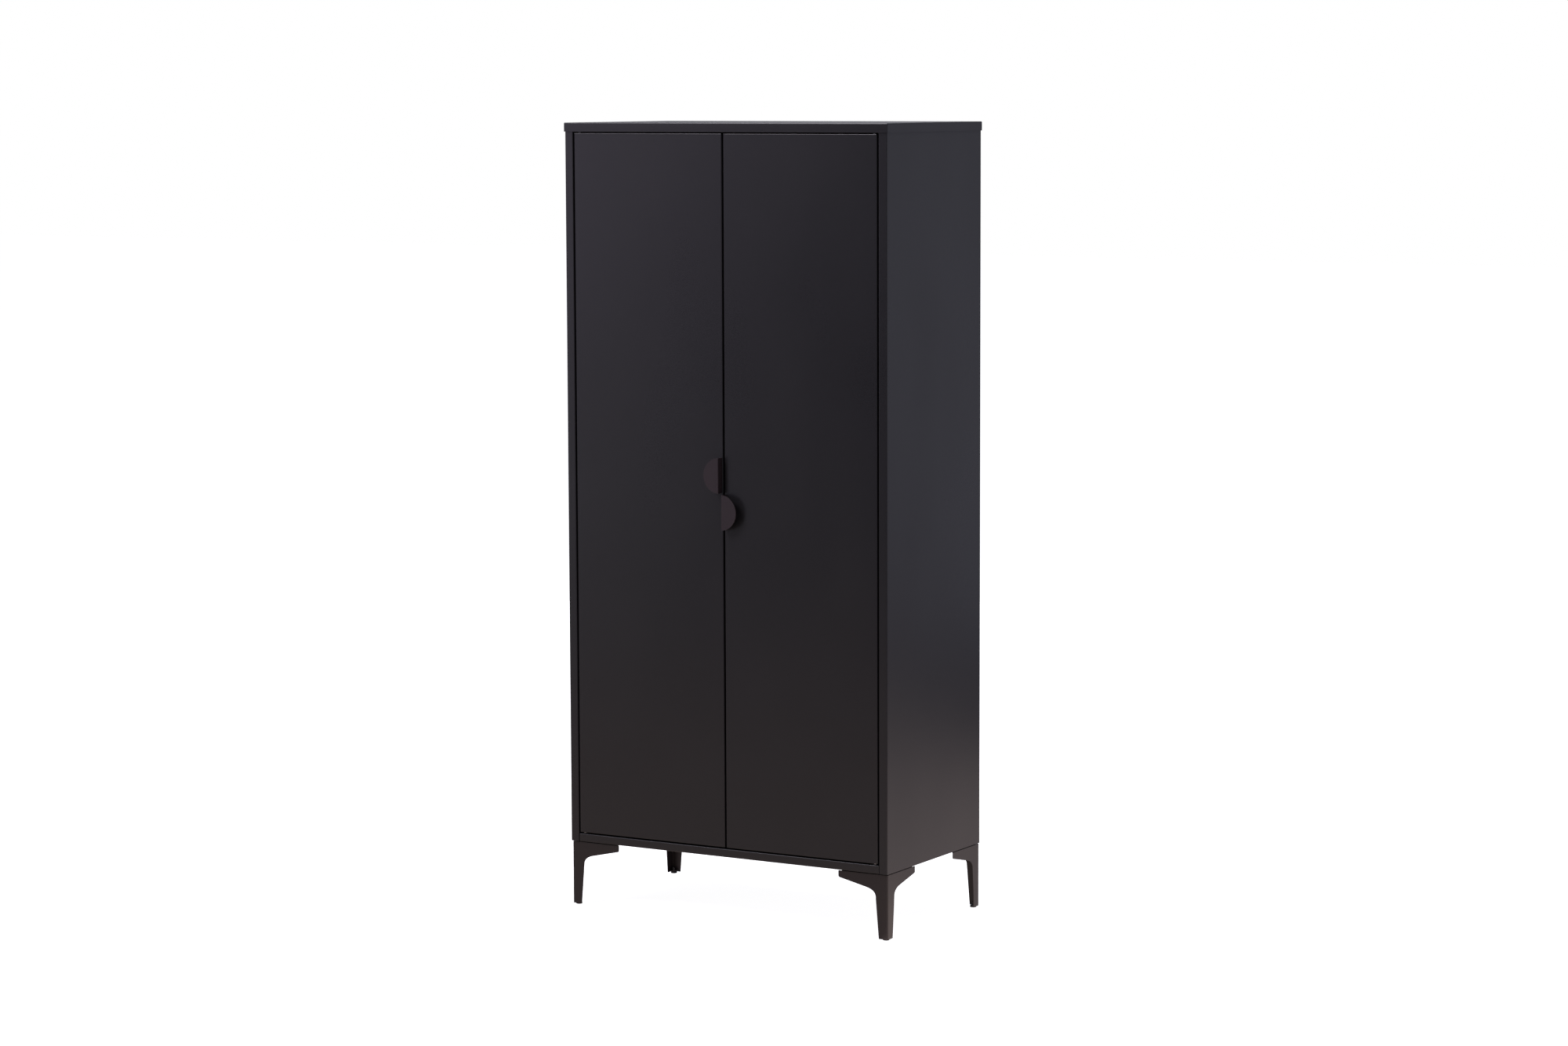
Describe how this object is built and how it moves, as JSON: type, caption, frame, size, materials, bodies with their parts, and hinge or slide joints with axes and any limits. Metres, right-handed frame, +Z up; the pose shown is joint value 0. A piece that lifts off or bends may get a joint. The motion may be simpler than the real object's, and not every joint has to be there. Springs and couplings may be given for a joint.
{
  "type": "wardrobe",
  "caption": "Charcoal folded-steel wardrobe with hinged doors, offset half-disc pulls, a shelf over a hanging rail, and bent-plate legs.",
  "frame": {"origin": "centre of the bounding box's footprint, on the floor under the glides", "axes": "+Z up, -Y the way the closed doors face, +X to the right of someone looking at the doors"},
  "size_m": [0.8, 0.438, 1.7175],
  "materials": {
    "cabinet_paint": "satin charcoal powder coat, fine texture",
    "zinc_steel": "bright zinc plate",
    "rubber": "black rubber",
    "black_plastic": "black moulded plastic",
    "leg_paint": "satin charcoal powder coat, slightly browner",
    "chrome_rail": "bright chrome tube and sockets"
  },
  "bodies": {
    "cabinet": {"back_panel": "cabinet_paint", "back_screw_left_high": "zinc_steel", "back_screw_left_low": "zinc_steel", "back_screw_left_middle": "zinc_steel", "back_screw_right_high": "zinc_steel", "back_screw_right_low": "zinc_steel", "back_screw_right_middle": "zinc_steel", "door_stop": "cabinet_paint", "floor_tray": "cabinet_paint", "foot_glide_back_left": "black_plastic", "foot_glide_back_right": "black_plastic", "foot_glide_front_left": "black_plastic", "foot_glide_front_right": "black_plastic", "hanging_rail": "chrome_rail", "hat_shelf": "cabinet_paint", "header_rail": "cabinet_paint", "leg_back_left": "leg_paint", "leg_back_right": "leg_paint", "leg_front_left": "leg_paint", "leg_front_right": "leg_paint", "leg_screw_back_left_a": "zinc_steel", "leg_screw_back_left_b": "zinc_steel", "leg_screw_back_right_a": "zinc_steel", "leg_screw_back_right_b": "zinc_steel", "leg_screw_front_left_a": "zinc_steel", "leg_screw_front_left_b": "zinc_steel", "leg_screw_front_right_a": "zinc_steel", "leg_screw_front_right_b": "zinc_steel", "lid": "cabinet_paint", "magnet_catch_left": "black_plastic", "magnet_catch_right": "black_plastic", "pivot_bush_bottom_left": "black_plastic", "pivot_bush_bottom_right": "black_plastic", "pivot_bush_top_left": "black_plastic", "pivot_bush_top_right": "black_plastic", "rail_socket_left": "chrome_rail", "rail_socket_right": "chrome_rail", "shelf_support_left": "cabinet_paint", "shelf_support_right": "cabinet_paint", "side_panel_left": "cabinet_paint", "side_panel_right": "cabinet_paint"},
    "door_left": {"door_buffer_left": "rubber", "door_leaf_left": "cabinet_paint", "door_stiffener_left": "cabinet_paint", "handle_left": "leg_paint", "handle_screw_left_a": "zinc_steel", "handle_screw_left_b": "zinc_steel", "pivot_pin_bottom_left": "zinc_steel", "pivot_pin_top_left": "zinc_steel", "strike_plate_left": "zinc_steel"},
    "door_right": {"door_buffer_right": "rubber", "door_leaf_right": "cabinet_paint", "door_stiffener_right": "cabinet_paint", "handle_right": "leg_paint", "handle_screw_right_a": "zinc_steel", "handle_screw_right_b": "zinc_steel", "pivot_pin_bottom_right": "zinc_steel", "pivot_pin_top_right": "zinc_steel", "strike_plate_right": "zinc_steel"}
  },
  "joints": [
    {"name": "door_left_hinge", "type": "hinge", "parent": "cabinet", "child": "door_left", "pos_m": [-0.3655, -0.193, 0.9295], "axis": [0, 0, -1], "range_deg": [0, 110]},
    {"name": "door_right_hinge", "type": "hinge", "parent": "cabinet", "child": "door_right", "pos_m": [0.3655, -0.193, 0.9295], "axis": [0, 0, 1], "range_deg": [0, 110]}
  ]
}
